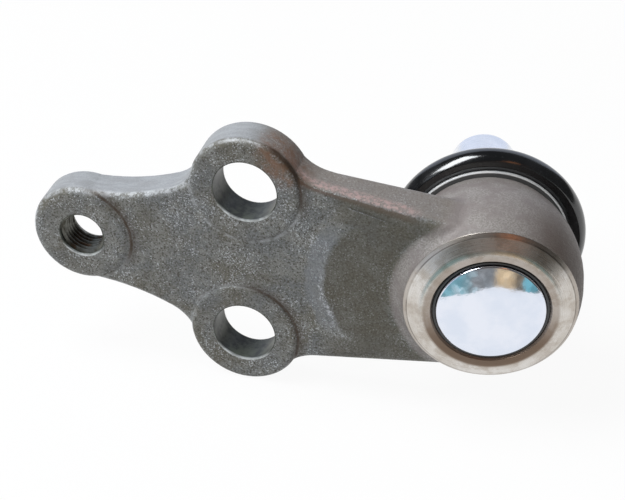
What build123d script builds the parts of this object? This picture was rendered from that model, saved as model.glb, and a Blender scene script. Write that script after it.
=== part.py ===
"""Suspension ball joint: a forged steel arm with its ball housing in one piece, and the ball stud,
bearing, closing cover and dust boot that the housing holds.

Millimetres.  The origin is the centre of the ball.  +Y runs along the stud, away from the closing
cover; the arm reaches out towards -X; +Z is up.  Every turned piece is a profile of (radius, y)
spun about the Y axis.
"""
from build123d import *
from math import asin, cos, degrees, radians, sin, sqrt, tan
import os

# ---- ball stud -----------------------------------------------------------------------------------
ball_radius = 13.5
neck_radius = 7.5
stud_radius = 9.0
stud_reach = 55.0           # ball centre to the free end
neck_end = 19.0             # where the neck starts to open out to the full stud
neck_taper = 4.0
ball_flat = 12.6            # ball centre to the flat on the ball's pole
groove_centre = 41.0        # annular groove for the pinch bolt
groove_radius = 6.0
groove_depth = 2.2
stud_end_round = 1.6
swing_limit = 22.0          # degrees the stud may lean from the housing's axis

# ---- running gaps --------------------------------------------------------------------------------
ball_gap = 0.05             # ball in its seats
seat_gap = 0.05             # bearing pieces in the housing
press_gap = 0.03            # pressed pieces in their bores
swing_gap = 0.6             # neck to whatever surrounds it at full lean

# ---- ball housing --------------------------------------------------------------------------------
cavity_radius = 17.0
front_radius = 21.5         # forged wall at the machined end
belly_radius = 23.4         # forged wall at its fullest
back_radius = 19.8          # forged wall at the boot end
front_ledge = 13.5          # ball centre forward to the edge of the machined end
back_face = 14.2            # ball centre back to the boot end
ledge_width = 1.0           # turned chamfer round the machined end
ledge_depth = 0.85
lip_rise = 2.2              # cone from the ledge to the crest of the rolled lip
lip_crest = 17.2            # radius of that crest
lip_crest_round = 3.0
lip_dish = 0.45             # the lip falls back this far from its crest to its opening
lip_thickness = 1.95        # rolled lip over the cover
lip_opening = 14.45
lip_round = 0.5
shoulder_angle = 45.0       # inner shoulder that backs the bearing

# ---- bearing, spring and cover -------------------------------------------------------------------
shell_split = 0.4           # half the gap between the two seats
shell_wall = 0.9            # thickness left at the shell's open edge
seat_front = 11.3           # front face of the pressure seat
spring_clearance = 1.4      # spring's rim to the housing's bore
spring_inner = 9.0
spring_thickness = 0.8
cover_thickness = 1.4
cover_dome_radius = 13.5
cover_edge_lift = 0.3       # dome edge stands this far proud of the lip's opening
cover_dome_height = 2.2
cover_edge_round = 0.5
seal_gap = 0.05
seal_drop = 0.35            # seal lies this far below the lip
seal_round = 0.3

# ---- boot and its rings --------------------------------------------------------------------------
counterbore_radius = 17.2
counterbore_depth = 3.0
base_ring_wall = 0.9
base_ring_flange = 0.8
base_ring_outer = 21.0
base_ring_lift = 0.6        # flange stands off the housing's back face
boot_wall = 1.7
bulge_ring = 21.2           # circle that the bulge's section runs round
bulge_radius = 4.2
bulge_centre = 18.1
bulge_front = -50.0         # degrees round the bulge's section, from straight out
bulge_back = 95.0
boot_sag = 1.2              # hollow of the boot between bulge and collar
collar_front = 25.2
collar_length = 6.0
collar_radius = 12.4
sleeve_wall = 0.8
sleeve_gap = 0.05
clip_wire = 1.1             # wire diameter of the clip ring
clip_groove = 0.5           # depth of the clip's groove in the collar
clip_setback = 2.2          # clip ring to the collar's free end

# ---- arm -----------------------------------------------------------------------------------------
arm_angle = 13.0            # lean of the arm's face from square to the stud
face_offset = 15.0          # front boss faces, measured at the housing's axis
boss_thickness = 10.0       # front boss faces to the flat clamping face at the back
boss_height = 0.5           # bosses stand this far proud of the arm's front
boss_flare = 0.3            # and this far out of its sides
nose_radius = 13.6
nose_round = 2.5            # front edge of the nose
thread_radius = 6.0         # major radius of the tapped hole
thread_chamfer = 0.3
ear_reach = 63.25           # both clamp holes, from the stud's axis
ear_spread = 21.5
ear_radius = 14.6
hole_radius = 8.25
front_chamfer = 0.4
back_chamfer = 1.0
nose_span = 43.75           # clamp holes to the tapped hole
waist_rise = 10.5           # the hollow sides would pass this far outside the clamp holes
waist_blend = 11.0
ear_blend = 12.0
neck_half = 25.5            # half the neck's width where it starts
neck_bury = 2.0             # how near the stud axis the neck runs on inside the housing
buried_front_half = 19.2
buried_back_half = 22.6
buried_depth = 14.0
buried_round = 4.5          # front corners
buried_back_round = 4.0
web_round = 2.2             # front edges of the web
ear_round = 1.6             # front edges of the ears
clamp_round = 0.8           # back edges, round the clamping face
ridge_setback = 44.0        # clamp holes to the middle of the ridge's arc on the neck's front
ridge_radius = 23.2         # crest of that arc
ridge_ramp = 6.3            # width of the slope up to the crest
ridge_rise = 0.8
ridge_edge = 0.3            # the ridge stops this far inside the neck's rounded corners
junction_round = 4.0        # where the arm runs into the housing

SPIN = Axis.Y
same_place = 1e-4           # two points nearer than this are one


def turned(*points, rounds=None):
    """A solid of revolution about the stud axis from a closed (radius, y) outline."""
    face = make_face(Polyline(*points, close=True))
    for corner, radius in (rounds or {}).items():
        nearest = min(face.vertices(), key=lambda v: (Vector(v) - Vector(*points[corner])).length)
        face = fillet(nearest, radius)
    return revolve(face, SPIN)


def lean_envelope(y):
    """Radius swept by the neck at height y when the stud leans to its limit."""
    lean = radians(swing_limit)
    along = (y + neck_radius * sin(lean)) / cos(lean)
    return along * sin(lean) + neck_radius * cos(lean)


# Where the bearing has to stop so that the leaning neck clears it.
edge_angle = degrees(asin((neck_radius + swing_gap) / ball_radius)) + swing_limit
edge_radius = (ball_radius + ball_gap) * sin(radians(edge_angle))
edge_y = (ball_radius + ball_gap) * cos(radians(edge_angle))
mouth_radius = edge_radius + shell_wall
mouth_y = edge_y + shell_wall
shoulder_y = mouth_y - (cavity_radius - mouth_radius) * tan(radians(shoulder_angle))
lip_face = front_ledge + ledge_depth + lip_rise - lip_dish
lip_under = lip_face - lip_thickness
cover_top = lip_face + cover_edge_lift

# Where the nose is, and where the blend behind the ears has run out into the neck's straight side.
nose_reach = ear_reach + nose_span
ear_run = sqrt(
    (ear_radius - boss_flare + ear_blend) ** 2 - (neck_half + ear_blend - ear_spread) ** 2
)
neck_reach = ear_reach - ear_run


def housing_outside():
    """Barrel-shaped forging with its machined end and rolled lip, still solid inside."""
    wall = ThreePointArc(
        (front_radius, -front_ledge), (belly_radius, 0), (back_radius, back_face)
    )
    crest = (lip_crest, -lip_face - lip_dish)
    ends = Polyline(
        (back_radius, back_face),
        (0, back_face),
        (0, -lip_face),
        (lip_opening, -lip_face),
        crest,
        (front_radius - ledge_width, -front_ledge - ledge_depth),
        (front_radius, -front_ledge),
    )
    face = make_face(wall + ends)
    corner = min(face.vertices(), key=lambda v: (Vector(v) - Vector(*crest)).length)
    return revolve(fillet(corner, lip_crest_round), SPIN)


def housing_inside():
    """What is bored out: the cover's seat, the bearing's bore and the stud's mouth."""
    floor = back_face - counterbore_depth
    beyond = back_face + counterbore_depth
    rounding = lip_opening + lip_round
    mouth_slope = lip_dish / (lip_crest - lip_opening)
    return turned(
        (0, -lip_face - lip_dish),
        (rounding, -lip_face - lip_dish),
        (rounding, -lip_face - lip_round * mouth_slope),
        (lip_opening, -lip_face + lip_round),
        (lip_opening, -lip_under),
        (cavity_radius, -lip_under),
        (cavity_radius, shoulder_y),
        (mouth_radius, mouth_y),
        (lean_envelope(floor) + swing_gap, floor),
        (counterbore_radius, floor),
        (counterbore_radius, beyond),
        (0, beyond),
    )


def arm_plane(depth=0.0):
    """Plane of the arm at a depth behind its boss faces: x out along the arm, normal towards +Y."""
    lean = radians(arm_angle)
    normal = Vector(sin(lean), cos(lean), 0)
    origin = Vector(0, -face_offset, 0) + normal * depth
    return Plane(origin, x_dir=(cos(lean), -sin(lean), 0), z_dir=normal)


def rounded_plate(outline, front_round, front=0.0):
    """A plate from a depth behind the boss faces to the clamping face, its edges rounded as forged."""
    plate = arm_plane(front) * extrude(outline, boss_thickness - front)
    for depth, radius in ((front, front_round), (boss_thickness, clamp_round)):
        local = [(e, arm_plane(depth).to_local_coords(e.center())) for e in plate.edges()]
        rim = [e for e, at in local if abs(at.Z) < same_place and at.X < -neck_reach - same_place]
        plate = fillet(rim, radius)
    return plate


def web_outline():
    """The clamping area: hollow sides from nose to ears, ears, and straight sides into the neck."""
    nose = nose_radius - boss_flare
    ear = ear_radius - boss_flare
    middle = (-nose_reach - ear_reach) / 2
    side_slope = (neck_half - buried_front_half) / (neck_reach - neck_bury)
    rise = ear_spread + waist_rise - nose
    waist_radius = (nose_span**2 + rise**2) / (2 * rise)

    def hollow(x):
        return nose + waist_radius - sqrt(waist_radius**2 - (x + nose_reach) ** 2)

    def straight(x):
        return neck_half - side_slope * (x + neck_reach)

    def upper_side():
        waist = ThreePointArc(
            (-nose_reach, nose), (middle, hollow(middle)), (-ear_reach, hollow(-ear_reach))
        )
        return waist + Polyline(
            (-ear_reach, hollow(-ear_reach)),
            (-ear_reach, straight(-ear_reach)),
            (-neck_reach, straight(-neck_reach)),
            (-neck_reach, 0),
        )

    nose_end = Line((-nose_reach, -nose), (-nose_reach, nose))
    outline = make_face(upper_side() + mirror(upper_side(), Plane.XZ) + nose_end)
    outline += Pos(-nose_reach) * Circle(nose)
    for side in (1, -1):
        outline += Pos(-ear_reach, side * ear_spread) * Circle(ear)
    for side in (1, -1):
        for blend, towards_nose in ((waist_blend, True), (ear_blend, False)):
            near_ear = [
                v
                for v in outline.vertices()
                if v.Y * side > 0
                and -nose_reach < v.X < -neck_reach - same_place
                and (v.X < -ear_reach) == towards_nose
            ]
            outline = fillet(max(near_ear, key=lambda v: sharpness(outline, v)), blend)
    return outline


def sharpness(outline, vertex):
    """How far the outline turns at one of its corners, in degrees."""
    here = Vector(vertex)
    first, second = (
        e.tangent_at(e.param_at_point(here))
        for e in outline.edges()
        if any((Vector(v) - here).length < same_place for v in e.vertices())
    )
    turn = first.get_angle(second)
    return min(turn, 180 - turn)


def neck(web):
    """Loft from the web's end into the housing, which deepens as it goes."""
    start = web.faces().sort_by(Axis(arm_plane().origin, arm_plane().x_dir))[-1]
    origin = arm_plane(boss_height).from_local_coords(Vector(-neck_bury, 0, 0))
    # In the section, x is up and y points out of the arm's front face.
    corners = (
        (-buried_front_half, 0),
        (buried_front_half, 0),
        (buried_back_half, -buried_depth),
        (-buried_back_half, -buried_depth),
    )
    section = make_face(Polyline(*corners, close=True))
    section = fillet(section.vertices().group_by(Axis.Y)[-1], buried_round)
    section = fillet(section.vertices().group_by(Axis.Y)[0], buried_back_round)
    end = Plane(origin, x_dir=(0, 0, 1), z_dir=arm_plane().x_dir) * section
    return loft([start, end.face()], ruled=True)


def neck_ridge():
    """Low ridge across the neck's front: a round ramp up from the clamp area, then a long fall."""
    centre = ridge_setback - ear_reach
    crest = centre - ridge_radius
    foot = crest - ridge_ramp
    top = boss_height - ridge_rise
    buried = boss_height + ridge_rise
    widest = ridge_radius + 2 * ridge_ramp
    cone = Polyline((0, buried), (widest, buried), (ridge_radius, top), (0, top), close=True)
    ramp = revolve(Plane.XZ * make_face(cone), Axis.Z)
    over = top - ridge_rise * (crest - foot) / (-belly_radius - crest)
    fall = Polyline(
        (foot, over), (-belly_radius, boss_height), (-belly_radius, buried), (foot, buried), close=True
    )
    wide = neck_half - web_round - ridge_edge
    narrow = buried_front_half - buried_round - ridge_edge
    sides = Polyline(
        (foot, -wide),
        (-neck_reach, -wide),
        (-neck_bury, -narrow),
        (-neck_bury, narrow),
        (-neck_reach, wide),
        (foot, wide),
        close=True,
    )
    wedge = extrude(Plane.XZ * make_face(fall), neck_half, both=True)
    plan = extrude(make_face(sides), 2 * buried, both=True)
    return arm_plane() * ((Pos(centre) * ramp) & wedge & plan)


def through_hole(centre, radius, front, back):
    """A hole square through the bosses, with a chamfer at each face."""
    along = (0, front, boss_thickness - back, boss_thickness)
    wide = (radius + front, radius, radius, radius + back)
    rim = 2 * nose_round
    profile = [(0, -rim), (radius + front + rim, -rim), *zip(wide, along)]
    profile += [(radius + back + rim, boss_thickness + rim), (0, boss_thickness + rim)]
    cutter = revolve(Plane.XZ * make_face(Polyline(*profile, close=True)), Axis.Z)
    return arm_plane() * (Pos(*centre) * cutter)


def forged_body():
    """Arm and housing in one piece, bored, turned and drilled."""
    web = rounded_plate(web_outline(), web_round, boss_height)
    arm = web + neck(web) + neck_ridge()
    arm += rounded_plate(Pos(-nose_reach) * Circle(nose_radius), nose_round)
    for side in (1, -1):
        arm += rounded_plate(Pos(-ear_reach, side * ear_spread) * Circle(ear_radius), ear_round)
    outside = housing_outside()
    body = arm + outside
    body = fillet(new_edges(arm, outside, combined=body), junction_round)
    body -= housing_inside()
    for side in (1, -1):
        body -= through_hole((-ear_reach, side * ear_spread), hole_radius, front_chamfer, back_chamfer)
    return body - through_hole((-nose_reach, 0), thread_radius, thread_chamfer, thread_chamfer)


def ball_stud():
    """Ball, neck and plain stud with a pinch-bolt groove, turned from one bar."""
    flat_radius = sqrt(ball_radius**2 - ball_flat**2)
    neck_y = sqrt(ball_radius**2 - neck_radius**2)
    chord = sqrt(groove_radius**2 - (groove_radius - groove_depth) ** 2)
    ball = ThreePointArc((flat_radius, -ball_flat), (ball_radius, 0), (neck_radius, neck_y))
    shank = Polyline(
        (neck_radius, neck_y),
        (neck_radius, neck_end),
        (stud_radius, neck_end + neck_taper),
        (stud_radius, groove_centre - chord),
    )
    groove = ThreePointArc(
        (stud_radius, groove_centre - chord),
        (stud_radius - groove_depth, groove_centre),
        (stud_radius, groove_centre + chord),
    )
    tip = Polyline(
        (stud_radius, groove_centre + chord),
        (stud_radius, stud_reach - stud_end_round),
    ) + JernArc((stud_radius, stud_reach - stud_end_round), (0, 1), stud_end_round, 90)
    close = Polyline(tip @ 1, (0, stud_reach), (0, -ball_flat), (flat_radius, -ball_flat))
    return revolve(make_face(ball + shank + groove + tip + close), SPIN)


def seat_half(far_end, outside):
    """One half of the bearing: a socket round the ball up to far_end, closed by the outside points."""
    inner = ball_radius + ball_gap
    side = 1 if far_end[1] > 0 else -1
    start = (sqrt(inner**2 - shell_split**2), side * shell_split)
    halfway = (asin(shell_split / inner) + asin(abs(far_end[1]) / inner)) / 2
    socket = ThreePointArc(start, (inner * cos(halfway), side * inner * sin(halfway)), far_end)
    return revolve(make_face(socket + Polyline(far_end, *outside, start)), SPIN)


def bearing_shell():
    """Back half of the bearing: holds the ball against the housing's shoulder."""
    outer = cavity_radius - seat_gap
    lean = radians(shoulder_angle)

    def shoulder(radius):
        return mouth_y - seat_gap / cos(lean) - (radius - mouth_radius) * tan(lean)

    rim = [(mouth_radius, shoulder(mouth_radius)), (outer, shoulder(outer)), (outer, shell_split)]
    return seat_half((edge_radius, edge_y), rim)


def pressure_seat():
    """Front half of the bearing, pressed on the ball by the spring, open in the middle for grease."""
    outer = cavity_radius - seat_gap
    opening = sqrt((ball_radius + ball_gap) ** 2 - seat_front**2)
    return seat_half((opening, -seat_front), [(outer, -seat_front), (outer, -shell_split)])


def disc_spring():
    """Coned washer: its rim bears on the cover's flange, its bore on the pressure seat."""
    spring_outer = cavity_radius - spring_clearance
    rim_front = -(lip_under - cover_thickness) + press_gap
    bore_back = -seat_front - press_gap
    return turned(
        (spring_outer, rim_front),
        (spring_outer, rim_front + spring_thickness),
        (spring_inner, bore_back),
        (spring_inner, bore_back - spring_thickness),
    )


def cover_plug():
    """Domed steel cap: its flange is trapped under the rolled lip."""
    rim = cavity_radius - press_gap
    flange_front = -lip_under + press_gap
    flange_back = flange_front + cover_thickness - press_gap
    edge = -cover_top
    inner = cover_dome_radius - cover_thickness

    def dome(radius, rise, start):
        """Spherical crown of a given rise, from its edge to the axis."""
        sphere = (radius**2 + rise**2) / (2 * rise)
        half = radius / 2
        crown = start - rise
        halfway = (half, crown + sphere - sqrt(sphere**2 - half**2))
        return ThreePointArc((radius, start), halfway, (0, crown))

    outline = (
        dome(cover_dome_radius, cover_dome_height, edge)
        + Line((0, edge - cover_dome_height), (0, edge - cover_dome_height + cover_thickness))
        + dome(inner, cover_dome_height, edge + cover_thickness)
        + Polyline(
            (inner, edge + cover_thickness),
            (inner, flange_back),
            (rim, flange_back),
            (rim, flange_front),
            (cover_dome_radius, flange_front),
            (cover_dome_radius, edge),
        )
    )
    face = make_face(outline)
    corner = min(face.vertices(), key=lambda v: (Vector(v) - Vector(cover_dome_radius, edge)).length)
    return revolve(fillet(corner, cover_edge_round), SPIN)


def cover_seal():
    """Black sealing ring in the gap between the cover's dome and the rolled lip."""
    return turned(
        (cover_dome_radius + seal_gap, -lip_under),
        (lip_opening - seal_gap, -lip_under),
        (lip_opening - seal_gap, -lip_face + seal_drop),
        (cover_dome_radius + seal_gap, -lip_face + seal_drop),
        rounds={2: seal_round, 3: seal_round},
    )


def boot_base_ring():
    """Pressed steel ring: its sleeve is driven into the housing and its flange carries the boot."""
    outer = counterbore_radius - press_gap
    flange_front = back_face + base_ring_lift
    return turned(
        (outer, back_face - counterbore_depth + press_gap),
        (outer, flange_front),
        (base_ring_outer, flange_front),
        (base_ring_outer, flange_front + base_ring_flange),
        (outer - base_ring_wall, flange_front + base_ring_flange),
        (outer - base_ring_wall, back_face - counterbore_depth + press_gap),
    )


def dust_boot():
    """Rubber boot: its foot wraps the base ring, a fat bulge runs round it, a collar grips the stud."""
    seat = back_face + base_ring_lift + base_ring_flange + sleeve_gap
    wrap = base_ring_outer + sleeve_gap
    foot_bore = counterbore_radius - press_gap - base_ring_wall
    foot_top = seat + boot_wall
    bore = stud_radius + 2 * sleeve_gap + sleeve_wall
    collar_back = collar_front + collar_length
    groove_y = collar_back - clip_setback
    groove_half = clip_wire / 2 + sleeve_gap

    def on_bulge(angle, reach):
        return (bulge_ring + reach * cos(radians(angle)), bulge_centre + reach * sin(radians(angle)))

    def skin(reach, front, collar):
        """Round the bulge from its front to its back, then in a hollow sweep to the collar."""
        back = on_bulge(bulge_back, reach)
        hollow = ((back[0] + collar[0]) / 2 - boot_sag, (back[1] + collar[1]) / 2 - boot_sag)
        crown = ThreePointArc(on_bulge(front, reach), on_bulge((front + bulge_back) / 2, reach), back)
        return crown + ThreePointArc(back, hollow, collar)

    inner_reach = bulge_radius - boot_wall
    inner_front = degrees(asin((foot_top - bulge_centre) / inner_reach))
    outer_collar = (collar_radius, collar_front + boot_wall)
    inner_collar = (collar_radius - boot_wall, collar_front)
    collar = Polyline(
        outer_collar,
        (collar_radius, groove_y - groove_half),
        (collar_radius - clip_groove, groove_y - groove_half),
        (collar_radius - clip_groove, groove_y + groove_half),
        (collar_radius, groove_y + groove_half),
        (collar_radius, collar_back),
        (bore, collar_back),
        (bore, collar_front),
        inner_collar,
    )
    foot = Polyline(
        on_bulge(inner_front, inner_reach),
        (foot_bore, foot_top),
        (foot_bore, seat),
        (wrap, seat),
        (wrap, on_bulge(bulge_front, bulge_radius)[1]),
        on_bulge(bulge_front, bulge_radius),
    )
    outside = skin(bulge_radius, bulge_front, outer_collar)
    inside = skin(inner_reach, inner_front, inner_collar)
    return revolve(make_face(outside + collar + inside + foot), SPIN)


def boot_neck_sleeve():
    """Slippery sleeve in the boot's collar, so that the stud can turn and the boot need not."""
    bore = stud_radius + sleeve_gap
    return turned(
        (bore, collar_front + press_gap),
        (bore + sleeve_wall, collar_front + press_gap),
        (bore + sleeve_wall, collar_front + collar_length),
        (bore, collar_front + collar_length),
    )


def boot_clip_ring():
    """Wire ring that squeezes the boot's collar."""
    centre = collar_radius - clip_groove + sleeve_gap + clip_wire / 2
    wire = Pos(centre, collar_front + collar_length - clip_setback) * Circle(clip_wire / 2)
    return revolve(wire, SPIN)


PIECES = {
    "forged_body": forged_body,
    "ball_stud": ball_stud,
    "bearing_shell": bearing_shell,
    "pressure_seat": pressure_seat,
    "disc_spring": disc_spring,
    "cover_plug": cover_plug,
    "cover_seal": cover_seal,
    "boot_base_ring": boot_base_ring,
    "dust_boot": dust_boot,
    "boot_neck_sleeve": boot_neck_sleeve,
    "boot_clip_ring": boot_clip_ring,
}

os.makedirs("parts", exist_ok=True)
for name, make in PIECES.items():
    piece = make()
    print(name, round(piece.volume), piece.is_valid, len(piece.solids()))
    export_step(piece, f"parts/{name}.step")
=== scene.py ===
"""Suspension ball joint: finishes, dust boot, base ring and tapped thread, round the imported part.

Sizes are in millimetres and turned into metres where a mesh or a lamp is made.  The part's frame: the
origin is the ball's centre, +Y runs along the stud, the arm reaches out towards -X and +Z is up.
"""
import math

import bmesh
import bpy
from mathutils import Matrix, Vector


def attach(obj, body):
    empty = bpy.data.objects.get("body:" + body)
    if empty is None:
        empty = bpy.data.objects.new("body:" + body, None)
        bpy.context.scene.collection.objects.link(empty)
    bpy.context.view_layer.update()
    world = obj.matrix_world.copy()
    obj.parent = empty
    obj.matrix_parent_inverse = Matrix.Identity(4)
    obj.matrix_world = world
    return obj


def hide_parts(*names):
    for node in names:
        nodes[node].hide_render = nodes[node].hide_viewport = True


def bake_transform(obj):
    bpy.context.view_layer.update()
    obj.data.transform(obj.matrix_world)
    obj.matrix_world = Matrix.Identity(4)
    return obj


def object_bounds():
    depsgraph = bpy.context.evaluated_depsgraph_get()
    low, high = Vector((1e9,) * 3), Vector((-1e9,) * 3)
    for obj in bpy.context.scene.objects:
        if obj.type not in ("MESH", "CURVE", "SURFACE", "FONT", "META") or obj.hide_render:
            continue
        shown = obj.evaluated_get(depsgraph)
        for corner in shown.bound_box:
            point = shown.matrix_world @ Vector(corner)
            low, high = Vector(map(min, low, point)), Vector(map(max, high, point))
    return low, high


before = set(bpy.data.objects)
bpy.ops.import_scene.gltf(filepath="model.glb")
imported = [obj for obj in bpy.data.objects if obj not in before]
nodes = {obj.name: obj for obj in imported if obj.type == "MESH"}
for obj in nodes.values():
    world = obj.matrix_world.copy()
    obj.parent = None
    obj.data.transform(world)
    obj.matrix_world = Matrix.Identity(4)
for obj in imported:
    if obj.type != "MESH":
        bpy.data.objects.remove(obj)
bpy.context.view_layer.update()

MM = 0.001
FULL_TURN = 2 * math.pi

# The arm's own frame: u along the arm towards the housing, h from its boss faces to the clamping
# face, w across it.
ARM_LEAN = math.radians(13.0)
ARM_U = Vector((math.cos(ARM_LEAN), -math.sin(ARM_LEAN), 0))
ARM_H = Vector((math.sin(ARM_LEAN), math.cos(ARM_LEAN), 0))
ARM_ORIGIN = Vector((0, -15.0, 0))
ARM_THICKNESS = 10.0
NOSE_U, NOSE_RADIUS, THREAD_RADIUS = -107.0, 13.6, 6.0
EAR_U, EAR_SPREAD, EAR_RADIUS, HOLE_RADIUS = -63.25, 21.5, 14.6, 8.25

# The ridge across the neck's front: an arc about a point on the arm's middle line.
RIDGE_CENTRE_U, RIDGE_CREST, RIDGE_RAMP = -19.2, 23.9, 25.6

# The housing: its outside, and its turned front from the edge of the forging to the cap.
BARREL_RADIUS = 23.4
TURNED_EDGE_Y = -13.5
TURNED_RADIUS = 21.6
LIP_CREST = 17.2


# ---- camera --------------------------------------------------------------------------------------
def add_camera():
    """Long lens, above the arm's front and a little to its left."""
    place = Vector((-31.4, -382.8, 265.0))
    right = Vector((0.99857, 0.04888, 0.02165))
    up = Vector((-0.04536, 0.56039, 0.82699))
    data = bpy.data.cameras.new("camera")
    data.lens = 106.56
    data.sensor_width = 36.0
    data.clip_start = 0.01
    data.clip_end = 50.0
    camera = bpy.data.objects.new("camera", data)
    bpy.context.scene.collection.objects.link(camera)
    turn = Matrix((right, up, right.cross(up))).transposed().to_4x4()
    camera.matrix_world = Matrix.Translation(place * MM) @ turn
    bpy.context.scene.camera = camera


# ---- node helpers --------------------------------------------------------------------------------
class Graph:
    """Short ways to add nodes to a material or a group."""

    # For each kind of Mix node, the places of its two inputs and of its output.
    MIX_SOCKETS = {"FLOAT": (2, 3, 0), "VECTOR": (4, 5, 1), "RGBA": (6, 7, 2)}

    def __init__(self, tree):
        self.tree = tree

    def add(self, kind, inputs=None, **settings):
        node = self.tree.nodes.new(kind)
        for name, value in settings.items():
            setattr(node, name, value)
        for name, value in (inputs or {}).items():
            self.put(node.inputs[name], value)
        return node

    def put(self, socket, value):
        if isinstance(value, bpy.types.NodeSocket):
            self.tree.links.new(value, socket)
        else:
            socket.default_value = value

    def math(self, operation, a, b=None):
        node = self.add("ShaderNodeMath", operation=operation)
        self.put(node.inputs[0], a)
        if b is not None:
            self.put(node.inputs[1], b)
        return node.outputs[0]

    def plus(self, a, b):
        return self.math("ADD", a, b)

    def less(self, a, b):
        return self.math("SUBTRACT", a, b)

    def both(self, *masks):
        """All the masks multiplied together."""
        product = masks[0]
        for mask in masks[1:]:
            product = self.math("MULTIPLY", product, mask)
        return product

    def either(self, a, b):
        return self.math("MAXIMUM", a, b)

    def steps(self, value, low, high, to_low=0.0, to_high=1.0):
        """Smooth change from to_low at low to to_high at high."""
        node = self.add("ShaderNodeMapRange", interpolation_type="SMOOTHSTEP", clamp=True)
        sockets = ("Value", "From Min", "From Max", "To Min", "To Max")
        for name, number in zip(sockets, (value, low, high, to_low, to_high)):
            self.put(node.inputs[name], number)
        return node.outputs["Result"]

    def band(self, value, middle, half, soft):
        """1 within half of the middle, falling to 0 over soft outside it."""
        away = self.math("ABSOLUTE", self.less(value, middle))
        return self.steps(away, half + soft, half)

    def noise(self, where, size, detail=3.0, rough=0.55):
        """Noise with features about size millimetres across, from coordinates in millimetres."""
        inputs = {"Vector": where, "Scale": 1.0 / size, "Detail": detail, "Roughness": rough}
        return self.add("ShaderNodeTexNoise", inputs).outputs["Fac"]

    def patches(self, where, size, low, high, detail=3.0, rough=0.55):
        """Patches about size millimetres across, where the noise passes from low to high."""
        return self.steps(self.noise(where, size, detail, rough), low, high)

    def spread(self, noise, to_low, to_high):
        """Numbers from to_low to to_high, over the range that noise mostly keeps to."""
        mostly_from, mostly_to = 0.3, 0.7
        return self.steps(noise, mostly_from, mostly_to, to_low, to_high)

    def shifted(self, where, offset):
        return self.add("ShaderNodeMapping", {"Vector": where, "Location": offset}).outputs[0]

    def stretched(self, where, scale):
        return self.add("ShaderNodeMapping", {"Vector": where, "Scale": scale}).outputs[0]

    def mixed(self, kind, share, a, b):
        first, second, result = self.MIX_SOCKETS[kind]
        inputs = {0: share, first: a, second: b}
        return self.add("ShaderNodeMix", inputs, data_type=kind).outputs[result]

    def mix(self, share, a, b):
        """From colour a to colour b."""
        return self.mixed("RGBA", share, a, b)

    def blend(self, share, a, b):
        """From number a to number b."""
        return self.mixed("FLOAT", share, a, b)

    def paint(self, colour, *layers):
        """A colour under layers of (mask, colour), the last on top."""
        for mask, tint in layers:
            colour = self.mix(mask, colour, tint)
        return colour

    def split(self, vector):
        return self.add("ShaderNodeSeparateXYZ", {"Vector": vector}).outputs

    def join(self, x=0.0, y=0.0, z=0.0):
        return self.add("ShaderNodeCombineXYZ", {"X": x, "Y": y, "Z": z}).outputs[0]

    def length(self, vector):
        node = self.add("ShaderNodeVectorMath", {0: vector}, operation="LENGTH")
        return node.outputs["Value"]

    def bump(self, height, strength, distance_mm, normal=None):
        inputs = {"Height": height, "Strength": strength, "Distance": distance_mm * MM}
        if normal is not None:
            inputs["Normal"] = normal
        return self.add("ShaderNodeBump", inputs).outputs["Normal"]

    def glow(self, colour, strength=1.0):
        inputs = {"Color": colour, "Strength": strength}
        return self.add("ShaderNodeEmission", inputs).outputs[0]

    def mix_shader(self, share, a, b):
        return self.add("ShaderNodeMixShader", {0: share, 1: a, 2: b}).outputs[0]


def grey(value):
    return (value, value, value, 1.0)


def rgb(red, green, blue):
    """Linear colour from sRGB bytes."""

    def linear(byte):
        share = byte / 255
        return share / 12.92 if share <= 0.04045 else ((share + 0.055) / 1.055) ** 2.4

    return (linear(red), linear(green), linear(blue), 1.0)


def part_millimetres(g):
    """Where a point is in the part's frame, in millimetres."""
    where = g.add("ShaderNodeTexCoord").outputs["Object"]
    return g.stretched(where, (1 / MM, 1 / MM, 1 / MM))


def new_group(name, inputs, outputs):
    """A node group with the given sockets, its graph, and its input and output nodes."""
    tree = bpy.data.node_groups.new(name, "ShaderNodeTree")
    for way, sockets in (("INPUT", inputs), ("OUTPUT", outputs)):
        for socket, kind in sockets.items():
            tree.interface.new_socket(name=socket, in_out=way, socket_type=f"NodeSocket{kind}")
    graph = Graph(tree)
    given, out = graph.add("NodeGroupInput").outputs, graph.add("NodeGroupOutput").inputs
    return tree, graph, given, out


def millimetres_group():
    """Where a point is, in millimetres: in the part's frame, the arm's, and round the stud's axis."""
    outputs = {"Part": "Vector", "Arm": "Vector", "Radius": "Float", "Along": "Float"}
    tree, g, _, out = new_group("millimetres", {}, outputs)
    part = part_millimetres(g)
    offset = (-ARM_ORIGIN.dot(ARM_U), -ARM_ORIGIN.dot(ARM_H), 0)
    turned = {"Vector": part, "Rotation": (0, 0, ARM_LEAN), "Location": offset}
    x, y, z = g.split(part)
    g.put(out["Part"], part)
    g.put(out["Arm"], g.add("ShaderNodeMapping", turned).outputs[0])
    g.put(out["Radius"], g.length(g.join(x, 0.0, z)))
    g.put(out["Along"], y)
    return tree


def turning_group():
    """Fine rings left by a lathe, from a run in millimetres and how many rings to a millimetre."""
    inputs = {"Run": "Float", "Rings": "Float"}
    tree, g, given, out = new_group("turning_marks", inputs, {"Marks": "Float"})
    run = g.join(g.both(given["Run"], given["Rings"]))
    g.put(out["Marks"], g.noise(run, size=1.0))
    return tree


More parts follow.
